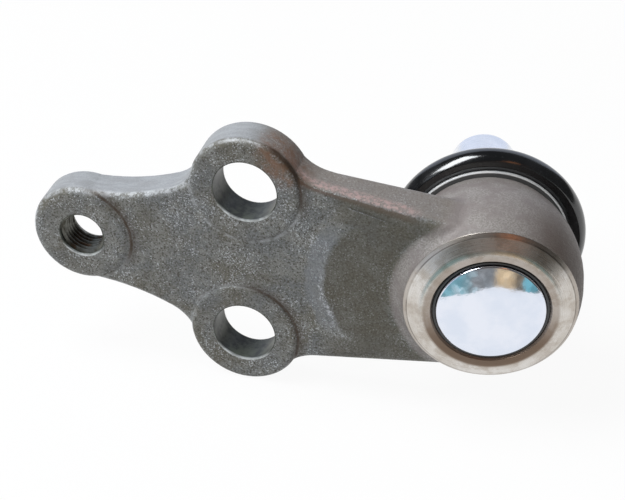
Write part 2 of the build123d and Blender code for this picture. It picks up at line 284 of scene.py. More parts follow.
# ---- colours -------------------------------------------------------------------------------------
TINT = {
    name: rgb(*value)
    for name, value in {
        # The forging's skin.
        "skin_olive": (97, 94, 84),
        "skin_grey": (101, 103, 103),
        "skin_mottle": (118, 118, 114),
        "skin_pit": (70, 67, 59),
        "skin_grain": (134, 135, 134),
        "skin_fleck": (202, 206, 210),
        # The arm's sides, the neck and the ridge.
        # Pale nose sides: trimmed-wall tone with painted light from above.
        "pale_lit_nose_side": (145, 147, 150),
        "nose_side_streak": (157, 160, 164),
        "neck_side": (128, 119, 113),
        # Painted highlight along the front edge's rounding.
        "edge_highlight": (196, 200, 204),
        "mill_scale": (166, 142, 138),
        "dark_seam": (82, 63, 53),
        "settled_oil": (76, 71, 58),
        # Painted bluish light on the ramp before the ridge.
        "ramp_painted_light": (122, 127, 134),
        "scuffed_crest": (182, 184, 188),
        # The bosses and their holes.
        "copper_rust": (112, 80, 58),
        # Rust with painted brown shade in the bosses' steps.
        "rust_and_step_shade": (54, 39, 25),
        # Painted highlight in the bosses' steps.
        "painted_step_highlight": (172, 174, 176),
        "old_oil": (25, 28, 19),
        "drilled_steel": (66, 71, 59),
        "bare_back_edge": (186, 186, 180),
        # Painted highlight on the holes' lower rims.
        "lower_rim_highlight": (206, 210, 210),
        "tapped_steel": (104, 104, 98),
        "tapped_oil": (58, 56, 48),
        # The housing's outside and its turned front.
        "barrel_sand": (148, 143, 140),
        "barrel_speck": (118, 112, 108),
        "barrel_cloud": (124, 116, 114),
        # Painted brown shade on the housing's right side.
        "barrel_right_shade": (82, 68, 58),
        "turned_bare": (218, 214, 209),
        "turned_warm": (202, 196, 188),
        "turned_mark": (150, 140, 130),
        "turned_patch": (172, 161, 149),
        "turned_edge": (158, 148, 138),
        # The lip's own brown, deepened by painted shade towards the bottom.
        "lip_brown_and_shade": (120, 101, 86),
        # A thin darker line in the groove.
        "groove_line_dark": (92, 86, 80),
        # The plating and the rubber.
        "zinc": (240, 241, 240),
        "dull_zinc": (222, 224, 225),
        # Painted shade where the base ring meets the housing.
        "ring_corner_shade": (48, 47, 45),
        "cap": (232, 236, 246),
        "cap_haze": (222, 229, 242),
        "rubber": (12, 13, 15),
        "worn_rubber": (24, 25, 27),
        "rubber_dust": (110, 112, 114),
    }.items()
}


def forging_group():
    """Blasted forging skin: colour, roughness and relief, from how much pale fleck it carries."""
    outputs = {"Color": "Color", "Roughness": "Float", "Relief": "Float"}
    inputs = {"Where": "Vector", "Fleck": "Float"}
    tree, g, given, out = new_group("forging_skin", inputs, outputs)
    where = given["Where"]
    cloud = g.noise(where, size=20, detail=4.0, rough=0.6)
    mottle = g.noise(where, size=4.5, detail=4.0, rough=0.65)
    grain = g.noise(where, size=0.5, detail=2.0, rough=0.6)
    fleck = g.noise(g.shifted(where, (31.0, 7.0, 19.0)), size=0.42, detail=2.0, rough=0.5)
    patch = g.noise(g.shifted(where, (5.0, 41.0, 3.0)), size=7.0, rough=0.6)
    sparse, dense, fleck_edge = 0.66, 0.55, 0.06
    least = g.steps(patch, 0.36, 0.66, sparse, dense)
    flecks = g.both(g.steps(fleck, least, g.plus(least, fleck_edge)), given["Fleck"])
    colour = g.paint(
        TINT["skin_olive"],
        (g.steps(cloud, 0.42, 0.58), TINT["skin_grey"]),
        (g.steps(mottle, 0.44, 0.66), TINT["skin_mottle"]),
        (g.steps(grain, 0.50, 0.34), TINT["skin_pit"]),
        (g.steps(grain, 0.56, 0.74), TINT["skin_grain"]),
        (flecks, TINT["skin_fleck"]),
    )
    matt, smooth = 0.62, 0.46
    grain_relief, mottle_relief = 0.6, 1.4
    g.put(out["Color"], colour)
    g.put(out["Roughness"], g.spread(grain, matt, smooth))
    g.put(out["Relief"], g.plus(g.both(grain, grain_relief), g.both(mottle, mottle_relief)))
    return tree


MILLIMETRES = millimetres_group()
TURNING = turning_group()
FORGING = forging_group()


# ---- materials -----------------------------------------------------------------------------------
def material(name):
    """A new material: its graph, its shader, and the millimetre coordinates."""
    made = bpy.data.materials.new(name)
    made.use_nodes = True
    graph = Graph(made.node_tree)
    shader = made.node_tree.nodes["Principled BSDF"]
    return made, graph, shader, graph.add("ShaderNodeGroup", node_tree=MILLIMETRES).outputs


def finish(g, shader, **values):
    """Each value, linked or plain, into the shader's socket of that name."""
    for name, value in values.items():
        g.put(shader.inputs[name.replace("_", " ")], value)


def dress(obj, made):
    obj.data.materials.clear()
    obj.data.materials.append(made)


def turning_marks(g, run, rings):
    inputs = {"Run": run, "Rings": rings}
    return g.add("ShaderNodeGroup", node_tree=TURNING, inputs=inputs).outputs["Marks"]


# The forging's marks are layers of (mask, colour).  The pairs of numbers in a mask are where it starts
# and where it is full: millimetres along u, h, w, the radius or the stud's axis, shares of square_on,
# and levels of a noise.
class Place:
    """Where a point of the forging is and how it faces, for the masks of its marks."""

    def __init__(self, g, where):
        self.part, self.arm = where["Part"], where["Arm"]
        self.radius, self.along = where["Radius"], where["Along"]
        self.x, _, self.z = g.split(self.part)
        self.u, self.h, self.w = g.split(self.arm)
        # 1 on the arm's front and back, 0 on its sides.
        normal = g.add("ShaderNodeNewGeometry").outputs["Normal"]
        inputs = {0: normal, 1: tuple(ARM_H)}
        front = g.add("ShaderNodeVectorMath", inputs, operation="DOT_PRODUCT")
        self.square_on = g.math("ABSOLUTE", front.outputs["Value"])
        # 1 behind the rounding of the front edge.
        edge_round = 0.9, 2.2
        self.past_edge = g.steps(self.h, *edge_round)
        self.patchy = g.patches(self.part, 3.0, 0.40, 0.60, detail=4.0, rough=0.7)


def from_axis(g, at, u_mm, w_mm):
    """Distance from an axis square to the arm."""
    return g.length(g.join(g.less(at.u, u_mm), g.less(at.w, w_mm)))


def side_marks(g, at):
    """The arm's trimmed sides: pale round the nose, a trimmed-wall tone with painted light from above,
    browner at the neck, and a painted highlight along the front edge's rounding, laid on as rubbed
    metal.
    """
    nose_end, neck_end, highlight_end = (-52.0, -66.0), (-62.0, -50.0), (-45.0, -60.0)
    facing_aside, on_rounding, edge_facing = (0.72, 0.35), (0.3, 0.9), 0.62
    side = g.both(g.steps(at.square_on, *facing_aside), at.past_edge)
    along_side = g.stretched(at.arm, (0.5, 2.0, 0.5))
    streaks = g.patches(along_side, 3.0, 0.36, 0.64, detail=4.0, rough=0.65)
    pale_lit_nose_side = g.mix(streaks, TINT["pale_lit_nose_side"], TINT["nose_side_streak"])
    # A painted highlight along the rounding of the front edge, patchy like rubbed metal.
    halfway = g.band(at.square_on, edge_facing, half=0.16, soft=0.2)
    edge = g.both(halfway, g.steps(at.h, *on_rounding))
    highlight_reach = g.both(at.patchy, g.steps(at.u, *highlight_end, to_high=0.5))
    return (
        # Pale nose sides: partly the trimmed walls' tone, partly painted light from above.
        (g.both(side, g.steps(at.u, *nose_end, to_high=0.85)), pale_lit_nose_side),
        (g.both(side, g.steps(at.u, *neck_end, to_high=0.6)), TINT["neck_side"]),
        (g.both(edge, highlight_reach), TINT["edge_highlight"]),
    )


def barrel_marks(g, at):
    """The housing's outside: sandy and speckled, with painted brown shade on its right side, most at
    the front.
    """
    neck_blend = BARREL_RADIUS + 2.2, BARREL_RADIUS + 0.4
    right_side, back_to_front = (3.0, 17.0), (7.0, -7.0)
    barrel = g.steps(at.radius, *neck_blend)
    specks = g.patches(at.part, 0.4, 0.38, 0.64, detail=2.0)
    clouds = g.patches(at.part, 6.0, 0.42, 0.6, detail=4.0, rough=0.6)
    speckled = g.mix(specks, TINT["barrel_sand"], TINT["barrel_speck"])
    sand = g.mix(clouds, speckled, TINT["barrel_cloud"])
    # Painted brown shade on the right side of the housing, strongest at the front.
    right = g.steps(at.x, *right_side)
    to_front = g.steps(at.along, *back_to_front, to_low=0.25, to_high=0.8)
    return (g.both(barrel, 0.8), sand), (g.both(barrel, right, to_front), TINT["barrel_right_shade"])


def neck_marks(g, at):
    """Pinkish scale and a dark seam along the front edge of the neck's upper side."""
    neck_middle, neck_half, neck_fade = -37.0, 13.0, 6.0
    upper_side, facing_aside, scale_depth = (5.0, 12.0), (0.8, 0.6), (5.0, 3.2)
    seam_facing, seam_depth = 0.84, (0.5, 0.9)
    on_neck = g.both(g.band(at.u, neck_middle, neck_half, neck_fade), g.steps(at.w, *upper_side))
    aside = g.steps(at.square_on, *facing_aside)
    off_front = g.both(aside, at.past_edge, g.steps(at.h, *scale_depth))
    crumbs = g.blend(g.patches(at.part, 1.1, 0.42, 0.60, detail=4.0, rough=0.7), 0.15, 0.9)
    corner = g.band(at.square_on, seam_facing, half=0.08, soft=0.1)
    seam = g.both(corner, g.steps(at.h, *seam_depth))
    return (
        (g.both(off_front, on_neck, crumbs), TINT["mill_scale"]),
        (g.both(seam, on_neck, 0.75), TINT["dark_seam"]),
    )


def ridge_marks(g, at):
    """Oil settled behind the ridge, painted bluish light on the ramp before it, and scuffs along part
    of its crest.
    """
    ridge_foot, barrel_foot, neck_edges = (24.0, 22.4), (23.5, 27.0), (16.0, 18.0)
    corner_u, ramp_start, ramp_depth = -30.0, (-37.0, -40.0), (3.0, 1.0)
    facing_front, front_depth, scuff_w = (0.6, 0.85), (4.0, 2.0), -7.0
    wander_size, wander_reach = 4.0, 4.0
    from_centre = from_axis(g, at, RIDGE_CENTRE_U, 0.0)
    hollow = g.both(g.steps(from_centre, *ridge_foot), g.steps(at.radius, *barrel_foot))
    to_edges = g.steps(g.math("ABSOLUTE", at.w), *neck_edges)
    behind = g.either(hollow, g.both(g.band(at.u, corner_u, half=7.0, soft=8.0), to_edges))
    front_only = g.both(g.steps(at.square_on, *facing_front), g.steps(at.h, *front_depth))
    wander = g.less(g.noise(at.part, wander_size, detail=4.0, rough=0.7), 0.5)
    ragged = g.plus(from_centre, g.both(wander, wander_reach))
    before = g.both(g.steps(at.u, *ramp_start), g.steps(at.h, *ramp_depth))
    # The ramp faces the bluish window: a painted bluish light lies on it.
    lit_ramp = g.band(ragged, RIDGE_RAMP, half=1.6, soft=1.6)
    lit_ramp = g.both(lit_ramp, g.band(at.w, 0.0, half=12.0, soft=6.0))
    crest = g.band(ragged, RIDGE_CREST, half=0.4, soft=0.9)
    crest = g.both(crest, g.band(at.w, scuff_w, half=4.0, soft=8.0))
    scratches = g.patches(at.part, 0.8, 0.47, 0.62, rough=0.7)
    return (
        (g.both(behind, front_only, 0.6), TINT["settled_oil"]),
        (g.both(lit_ramp, before, 0.4), TINT["ramp_painted_light"]),
        (g.both(crest, before, scratches, 0.85), TINT["scuffed_crest"]),
    )


def boss_step(g, at, u_mm, w_mm, boss, reach):
    """The step round a boss: rust with painted brown shade towards the housing, and a painted
    highlight elsewhere.
    """
    upward_share, face_depth = 0.55, (2.5, 1.2)
    core_radius, halo_radius, halo_share = boss - 0.15, boss + 0.3, 0.5
    away = from_axis(g, at, u_mm, w_mm)
    towards = g.plus(g.less(at.u, u_mm), g.both(g.less(at.w, w_mm), upward_share))
    housing_side = g.steps(towards, boss * (1 - reach), boss)
    near_face = g.steps(at.h, *face_depth)
    core = g.band(away, core_radius, half=0.2, soft=0.5)
    halo = g.both(g.band(away, halo_radius, half=0.3, soft=2.2), halo_share)
    # Rust with painted brown shade where the step faces the housing.
    rusty = g.both(g.either(core, halo), housing_side, near_face)
    # Painted highlight where the step faces away from the housing.
    bright = g.both(core, g.less(1.0, housing_side), near_face)
    return rusty, bright


def boss_marks(g, at):
    """Rust with painted brown shade in the steps towards the housing, rust on the upper boss's
    shoulder, and a painted highlight in the steps elsewhere round the bosses.

    Then the drilled walls, and a painted highlight on their lower rims.  Also gives the mask of the
    walls.
    """
    # Each hole's u and w, its boss's radius, its own, and how far round the rust reaches.
    holes = (
        (NOSE_U, 0.0, NOSE_RADIUS, THREAD_RADIUS, 0.6),
        (EAR_U, EAR_SPREAD, EAR_RADIUS, HOLE_RADIUS, 0.25),
        (EAR_U, -EAR_SPREAD, EAR_RADIUS, HOLE_RADIUS, 0.85),
    )
    wall_from, wall_to, rim_out = 0.28, 0.12, 0.22
    low_from, low_to = -0.45, -0.95
    rust = highlit_steps = bored = rim = 0.0
    for u_mm, w_mm, boss, bore, reach in holes:
        rusty, bright = boss_step(g, at, u_mm, w_mm, boss, reach)
        away = from_axis(g, at, u_mm, w_mm)
        rust = g.either(rust, rusty)
        highlit_steps = g.either(highlit_steps, bright)
        bored = g.either(bored, g.steps(away, bore + wall_from, bore + wall_to))
        # Painted highlight on the lower rim of each hole, which faces up.
        low = g.steps(g.less(at.w, w_mm), low_from * bore, low_to * bore)
        rim = g.either(rim, g.both(g.band(away, bore + rim_out, half=0.16, soft=0.16), low))

    shoulder_u, shoulder_w, shoulder_radius, shoulder_depth = -53.0, 32.5, (10.0, 4.0), (11.0, 5.0)
    back_edge, front_edge = (8.6, 9.4), (1.0, 0.6)
    near_shoulder = g.steps(from_axis(g, at, shoulder_u, shoulder_w), *shoulder_radius)
    off_back = g.steps(at.h, *shoulder_depth)
    shoulder = g.both(near_shoulder, off_back, g.blend(at.patchy, 0.3, 1.0), 0.85)
    oil = g.patches(at.part, 2.2, 0.36, 0.62, detail=4.0, rough=0.65)
    drilled = g.mix(oil, TINT["old_oil"], TINT["drilled_steel"])
    drilled = g.mix(g.steps(at.h, *back_edge), drilled, TINT["bare_back_edge"])
    rim_highlight_mask = g.both(rim, g.steps(at.h, *front_edge), g.blend(at.patchy, 0.5, 0.9))
    layers = (
        (shoulder, TINT["copper_rust"]),
        # Painted highlight in the steps.
        (g.both(highlit_steps, at.patchy, 0.45), TINT["painted_step_highlight"]),
        # Rust and painted brown shade in the steps.
        (g.both(rust, g.blend(at.patchy, 0.8, 1.0)), TINT["rust_and_step_shade"]),
        (bored, drilled),
        # Painted highlight on the holes' lower rims.
        (rim_highlight_mask, TINT["lower_rim_highlight"]),
    )
    return layers, bored


def turned_front(g, at):
    """The turned front's mask, its ring marks, its colour, and where its lip is browned and shaded:
    its own brown with painted shade that deepens towards the bottom.
    """
    ring_count, edge_soft = 4.0, (0.2, 0.08)
    before_edge = g.steps(at.along, *(TURNED_EDGE_Y + soft for soft in edge_soft))
    turned = g.both(before_edge, g.steps(at.radius, TURNED_RADIUS + 0.6, TURNED_RADIUS + 0.3))
    marks = turning_marks(g, at.radius, ring_count)
    stain = g.noise(at.part, size=8.0)
    blotches = g.patches(
        g.shifted(at.part, (3.0, 0.0, 8.0)), 5.0, 0.46, 0.62, detail=5.0, rough=0.7
    )
    lip_inside, top_to_bottom = (LIP_CREST + 0.1, LIP_CREST - 0.9), (2.0, -10.0)
    # The lip's brown deepens towards the bottom: painted shade on top of its own brown.
    low = g.steps(at.z, *top_to_bottom, to_low=0.45, to_high=0.95)
    shaded_lip = g.both(g.steps(at.radius, *lip_inside), low)
    groove_radius, outer_edge = TURNED_RADIUS - 0.9, (20.4, 20.8)
    groove = g.band(at.radius, groove_radius, half=0.05, soft=0.14)
    # A thin darker line in the groove, patchy.
    patchy_groove_line = g.both(groove, g.blend(g.steps(stain, 0.4, 0.6), 0.2, 0.7))
    bare = g.paint(
        TINT["turned_bare"],
        (g.steps(stain, 0.40, 0.62), TINT["turned_warm"]),
        (g.both(g.steps(marks, 0.5, 0.7), 0.3), TINT["turned_mark"]),
        (g.both(blotches, 0.6), TINT["turned_patch"]),
        (shaded_lip, TINT["lip_brown_and_shade"]),
        (g.both(g.steps(at.radius, *outer_edge), 0.55), TINT["turned_edge"]),
        (patchy_groove_line, TINT["groove_line_dark"]),
    )
    return turned, marks, bare, shaded_lip


def forged_steel():
    """The forging, its turned front and its drilled holes, told apart by where they are."""
    made, g, shader, where = material("forged_steel")
    at = Place(g, where)
    inputs = {"Where": at.part, "Fleck": 0.5}
    skin = g.add("ShaderNodeGroup", node_tree=FORGING, inputs=inputs).outputs
    holes, bored = boss_marks(g, at)
    turned, marks, bare, shaded_lip = turned_front(g, at)
    colour = g.paint(
        skin["Color"],
        *side_marks(g, at),
        *barrel_marks(g, at),
        *neck_marks(g, at),
        *ridge_marks(g, at),
        *holes,
        (turned, bare),
    )

    drilled_rough, lip_rough = 0.36, 0.5
    rough = g.blend(bored, skin["Roughness"], drilled_rough)
    rough = g.blend(turned, rough, g.spread(marks, to_low=0.24, to_high=0.36))
    rough = g.either(rough, g.both(turned, shaded_lip, lip_rough))

    skin_relief, machined_relief, ring_relief = 0.55, 0.06, 0.22
    relief = g.blend(g.either(turned, bored), skin_relief, machined_relief)
    normal = g.bump(skin["Relief"], relief, distance_mm=0.22)
    normal = g.bump(marks, g.blend(turned, 0.0, ring_relief), distance_mm=0.04, normal=normal)

    skin_metal, drilled_metal = 0.12, 0.1
    metal = g.blend(turned, g.blend(bored, skin_metal, drilled_metal), 1.0)
    finish(g, shader, Base_Color=colour, Roughness=rough, Metallic=metal, Normal=normal)
    return made


def turned_metal(name, light, dark, smooth, matt, rings, across=False):
    """Bright turned or drawn metal with fine rings round the stud's axis."""
    made, g, shader, where = material(name)
    marks = turning_marks(g, where["Radius"] if across else where["Along"], rings)
    colour = g.paint(
        light,
        (g.patches(where["Part"], 6.0, 0.35, 0.7, detail=4.0), dark),
        (g.both(g.steps(marks, 0.5, 0.8), 0.3), dark),
    )
    rough = g.spread(marks, smooth, matt)
    normal = g.bump(marks, strength=0.3, distance_mm=0.02)
    finish(g, shader, Base_Color=colour, Roughness=rough, Metallic=1.0, Normal=normal)
    return made


def matte_zinc():
    """Dull white zinc plating, with painted shade where the ring meets the housing."""
    corner_radius, corner_y = 20.5, 14.85
    made, g, shader, where = material("matte_zinc")
    cloud = g.noise(where["Part"], size=5.0, detail=4.0)
    # Painted shade in the corner where the ring meets the housing.
    inside = g.steps(where["Radius"], corner_radius + 0.2, corner_radius)
    corner = g.both(inside, g.steps(where["Along"], corner_y + 0.1, corner_y), 0.9)
    colour = g.paint(
        TINT["zinc"],
        (g.steps(cloud, 0.35, 0.65), TINT["dull_zinc"]),
        (corner, TINT["ring_corner_shade"]),
    )
    rough = g.spread(cloud, to_low=0.4, to_high=0.55)
    normal = g.bump(g.noise(where["Part"], size=0.6), strength=0.15, distance_mm=0.03)
    finish(g, shader, Base_Color=colour, Roughness=rough, Metallic=0.25, Normal=normal)
    return made


def plated_cap():
    """Bright plated cap with a faint orange-peel, its normal kept straight at the dome's pole."""
    pole_from, pole_to = 2.2, 1.3
    made, g, shader, where = material("plated_cap")
    facing = g.add("ShaderNodeNewGeometry").outputs["Normal"]
    at_pole = g.steps(where["Radius"], pole_from, pole_to)
    steady = g.mixed("VECTOR", at_pole, facing, (0.0, -1.0, 0.0))
    peel = g.noise(where["Part"], size=3.0)
    haze = g.noise(where["Part"], size=8.0, detail=4.0)
    colour = g.mix(g.steps(haze, 0.35, 0.65), TINT["cap"], TINT["cap_haze"])
    rough = g.spread(haze, to_low=0.06, to_high=0.12)
    normal = g.bump(peel, strength=0.2, distance_mm=0.16, normal=steady)
    finish(g, shader, Base_Color=colour, Roughness=rough, Metallic=1.0, Normal=normal)
    return made


def rubber(name, smooth, matt, dust):
    """Black moulded rubber with a little dust and an uneven gloss."""
    made, g, shader, where = material(name)
    cloud = g.noise(where["Part"], size=7.0, detail=4.0)
    fine = g.noise(where["Part"], size=0.6)
    colour = g.paint(
        TINT["rubber"],
        (g.steps(cloud, 0.35, 0.7), TINT["worn_rubber"]),
        (g.both(g.steps(fine, 0.66, 0.74), dust), TINT["rubber_dust"]),
    )
    rough = g.spread(cloud, smooth, matt)
    normal = g.bump(fine, strength=0.15, distance_mm=0.04)
    finish(g, shader, Base_Color=colour, Roughness=rough, Specular_IOR_Level=0.9, Normal=normal)
    return made


def plastic(name, light, dark):
    """Moulded bearing plastic, a little cloudy."""
    made, g, shader, where = material(name)
    cloud = g.noise(where["Part"], size=4.0, detail=4.0)
    colour = g.mix(g.steps(cloud, 0.35, 0.65), light, dark)
    rough = g.spread(cloud, to_low=0.38, to_high=0.5)
    normal = g.bump(g.noise(where["Part"], size=0.6), strength=0.15, distance_mm=0.04)
    finish(g, shader, Base_Color=colour, Roughness=rough, Normal=normal)
    return made


def thread_steel():
    """Oily tapped steel, rusty low in the hole."""
    low_from, low_to = -3.5, -6.5
    made, g, shader, where = material("thread_steel")
    cloud = g.noise(where["Part"], size=2.5, detail=4.0)
    low = g.steps(g.split(where["Part"])[2], low_from, low_to)
    colour = g.paint(
        TINT["tapped_steel"],
        (g.steps(cloud, 0.35, 0.65), TINT["tapped_oil"]),
        (g.both(low, g.steps(cloud, 0.48, 0.6), 0.5), TINT["copper_rust"]),
    )
    fine = g.noise(where["Part"], size=0.5, detail=2.0)
    rough = g.spread(fine, to_low=0.28, to_high=0.42)
    finish(g, shader, Base_Color=colour, Roughness=rough, Metallic=0.85)
    return made


# ---- pieces --------------------------------------------------------------------------------------
def finished(name, bm, smooth=True):
    """An object from a bmesh, its faces pointing outwards."""
    bmesh.ops.recalc_face_normals(bm, faces=bm.faces)
    mesh = bpy.data.meshes.new(name)
    bm.to_mesh(mesh)
    bm.free()
    if smooth:
        mesh.shade_smooth()
    obj = bpy.data.objects.new(name, mesh)
    bpy.context.scene.collection.objects.link(obj)
    return obj


class Section:
    """A closed outline of (radius, y) in millimetres, to be turned about the stud's axis."""

    def __init__(self, r, y):
        self.bm = bmesh.new()
        self.first = self.last = self.bm.verts.new((r * MM, y * MM, 0))

    def line(self, *points):
        for r, y in points:
            corner = self.bm.verts.new((r * MM, y * MM, 0))
            self.bm.edges.new((self.last, corner))
            self.last = corner

    def arc(self, centre, degrees, steps):
        """Round a centre, from wherever the outline has got to."""
        middle = Vector((centre[0] * MM, centre[1] * MM, 0))
        swept = bmesh.ops.spin(
            self.bm,
            geom=[self.last],
            cent=middle,
            axis=(0, 0, 1),
            angle=math.radians(degrees),
            steps=steps,
        )
        self.last = next(v for v in swept["geom_last"] if isinstance(v, bmesh.types.BMVert))

    def through(self, middle, end, steps):
        """An arc through a middle point to an end point."""
        start = Vector(self.last.co[:2]) / MM
        a, b = Vector(middle) - start, Vector(end) - start
        across = Vector((b.y * a.dot(a) - a.y * b.dot(b), a.x * b.dot(b) - b.x * a.dot(a)))
        centre = start + across / (2 * a.cross(b))
        turn = (start - centre).angle_signed(Vector(end) - centre)
        self.arc(centre, -math.degrees(turn), steps)

    def turned(self, name, steps):
        self.bm.edges.new((self.last, self.first))
        bmesh.ops.spin(
            self.bm,
            geom=self.bm.verts[:] + self.bm.edges[:],
            cent=(0, 0, 0),
            axis=(0, 1, 0),
            angle=FULL_TURN,
            steps=steps,
            use_merge=True,
        )
        return finished(name, self.bm)


def dust_boot():
    """The rubber boot: foot behind the base ring, fat bulge, hollow sweep and moulded collar."""
    wall, soft_edge = 1.6, 0.3
    bulge, size = Vector((21.2, 18.1)), 4.2
    inner = size - wall
    front, back = -50.0, 95.0
    foot_bore, seat, ring_edge, ring_front = 16.3, 15.65, 21.06, 14.88
    sweep, sweep_inside = (16.4, 22.75), (15.7, 21.45)
    collar, collar_start, collar_end, collar_round = 12.4, 26.9, 31.2, 0.5
    sleeve, sleeve_front = 9.92, 25.2
    groove, half, depth = 29.0, 0.6, 0.5

    def on_bulge(degrees, reach):
        turn = math.radians(degrees)
        return bulge + Vector((math.cos(turn), math.sin(turn))) * reach

    # Outside: over the ring's rim, round the bulge and up the collar with its clip groove.
    section = Section(foot_bore, seat)
    section.line((ring_edge + 0.3, seat))
    section.through((ring_edge + 1.2, ring_front + 0.4), (ring_edge + 2.4, ring_front + 0.1), 5)
    section.line(on_bulge(front - 3, size - 0.2), on_bulge(front, size))
    section.arc(bulge, back - front, 36)
    section.through(sweep, (collar, collar_start), 16)
    section.line((collar, groove - half), (collar - depth, groove - half))
    section.line((collar - depth, groove + half), (collar, groove + half))
    section.line((collar, collar_end - collar_round))
    section.arc((collar - collar_round, collar_end - collar_round), 90, 4)

    # Inside: down the sleeve, along the sweep and back round the bulge to the foot.
    section.line((sleeve + soft_edge, collar_end), (sleeve, collar_end - soft_edge))
    section.line((sleeve, sleeve_front + soft_edge), (sleeve + soft_edge, sleeve_front))
    section.line((collar - wall, sleeve_front))
    section.through(sweep_inside, on_bulge(back, inner), 14)
    inner_front = math.degrees(math.asin((seat + wall - bulge.y) / inner))
    section.arc(bulge, inner_front - back, 18)
    section.line((foot_bore + soft_edge, seat + wall), (foot_bore, seat + wall - soft_edge))

    boot = section.turned("boot_rubber_skin", steps=192)
    dress(boot, rubber("boot_rubber", smooth=0.13, matt=0.22, dust=0.12))
    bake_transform(boot)
    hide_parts("dust_boot")


def base_ring():
    """The pressed ring under the boot: its sleeve, and its flange with a rolled front edge."""
    sleeve, wall, sleeve_front = 17.17, 0.9, 11.23
    front, back, outer, roll, chamfer = 14.8, 15.6, 21.0, 0.4, 0.1
    section = Section(sleeve, sleeve_front)
    section.line((sleeve, front), (outer - roll, front))
    section.arc((outer - roll, front + roll), 90, 8)
    section.line((outer, back - chamfer), (outer - chamfer, back))
    section.line((sleeve - wall, back), (sleeve - wall, sleeve_front))
    ring = section.turned("base_ring_rolled", steps=160)
    dress(ring, matte_zinc())
    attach(ring, "housing")
    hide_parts("boot_base_ring")


def tapped_thread():
    """The M12 x 1.25 thread in the nose: one crest wound along the hole's wall."""
    pitch, crest_radius, steps_per_turn = 1.25, 5.34, 48
    root_half, crest_half, sunk, run_out = 0.52, 0.12, 0.06, 0.45
    start, end = 0.75, ARM_THICKNESS - 0.75
    turns = (end - start) / pitch
    steps = round(turns * steps_per_turn)
    middle = ARM_ORIGIN + ARM_U * NOSE_U
    wall = THREAD_RADIUS + sunk
    tooth = (
        (wall, -root_half),
        (crest_radius, -crest_half),
        (crest_radius, crest_half),
        (wall, root_half),
    )
    bm = bmesh.new()
    corners = [bm.verts.new((middle - ARM_U * r + ARM_H * (start + h)) * MM) for r, h in tooth]
    section = bm.faces.new(corners)
    bmesh.ops.spin(
        bm,
        geom=[section, *section.edges, *corners],
        cent=middle * MM,
        axis=ARM_H,
        dvec=ARM_H * ((end - start) / steps * MM),
        angle=FULL_TURN * turns,
        steps=steps,
    )
    # The crest sinks into the wall at both ends.
    for vert in bm.verts:
        from_middle = vert.co / MM - middle
        h = from_middle.dot(ARM_H)
        radial = from_middle - ARM_H * h
        depth = min(1.0, max(0.0, min(h - start, end - h) / run_out))
        radial *= (wall - (wall - radial.length) * depth) / radial.length
        vert.co = (middle + radial + ARM_H * h) * MM
    thread = finished("nose_thread", bm, smooth=False)
    dress(thread, thread_steel())
    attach(thread, "housing")


# ---- stage ---------------------------------------------------------------------------------------
def stage_material(name):
    """A new material without a shader, its graph, and the socket that takes one."""
    made = bpy.data.materials.new(name)
    made.use_nodes = True
    parts = made.node_tree.nodes
    parts.remove(parts["Principled BSDF"])
    return made, Graph(made.node_tree), parts["Material Output"].inputs["Surface"]


def floor_white(share):
    """White to the eye and in reflections, while it still catches a soft shadow."""
    made, g, surface = stage_material("floor_white")
    path = g.add("ShaderNodeLightPath").outputs
    seen = g.either(path["Is Camera Ray"], path["Is Glossy Ray"])
    seen = g.either(seen, path["Is Transmission Ray"])
    cloth_grey = 0.72
    cloth = g.add("ShaderNodeBsdfDiffuse", {"Color": grey(cloth_grey)}).outputs[0]
    g.put(surface, g.mix_shader(g.both(seen, share), cloth, g.glow(grey(1.0))))
    return made


def only_reflected(obj):
    obj.visible_camera = False
    obj.visible_diffuse = False
    obj.visible_shadow = False
    obj.visible_transmission = False


def glow_card(name, direction, distance, size, colour, strength):
    """A coloured board that only shows in reflections, facing the part."""
    unit_half = 0.5
    place = Vector(direction).normalized() * distance
    turn = place.to_track_quat("Z", "Y").to_matrix().to_4x4()
    bm = bmesh.new()
    bmesh.ops.create_grid(bm, x_segments=1, y_segments=1, size=unit_half)
    bmesh.ops.scale(bm, vec=(*size, 1), verts=bm.verts)
    bmesh.ops.transform(bm, matrix=Matrix.Translation(place) @ turn, verts=bm.verts)
    card = finished(name, bm, smooth=False)
    made, g, surface = stage_material(name)
    g.put(surface, g.glow(colour, strength))
    dress(card, made)
    only_reflected(card)


# Each card's name, direction and distance, width and height, colour and strength.
GLOW_CARDS = (
    ("window_glow", (-0.82, -0.51, 0.22), 1.0, (0.50, 0.55), rgb(226, 238, 255), 1.0),
    ("back_glow", (0.0, 0.94, 0.34), 1.0, (1.8, 0.8), rgb(228, 236, 252), 1.0),
    ("copper_glow", (0.26, -0.68, 0.69), 1.0, (0.26, 0.18), rgb(214, 138, 92), 1.1),
    ("amber_glow", (0.33, -0.45, 0.83), 1.0, (0.20, 0.12), rgb(226, 150, 96), 2.8),
    ("room_glow", (0.12, -0.88, 0.44), 1.1, (1.0, 0.5), rgb(180, 168, 160), 0.50),
)

# The room's colours by the angle they lie at: teal to start with, then between which degrees each
# colour takes over from those before it.
ROOM_START = rgb(138, 188, 196)
ROOM_COLOURS = (
    (-24.0, -12.0, rgb(156, 158, 158)),
    (1.0, 8.0, rgb(246, 214, 170)),
    (17.0, 24.0, rgb(134, 122, 106)),
    (27.0, 31.0, rgb(120, 180, 192)),
    (37.0, 42.0, rgb(120, 112, 104)),
    (-38.0, -46.0, rgb(200, 208, 220)),
)


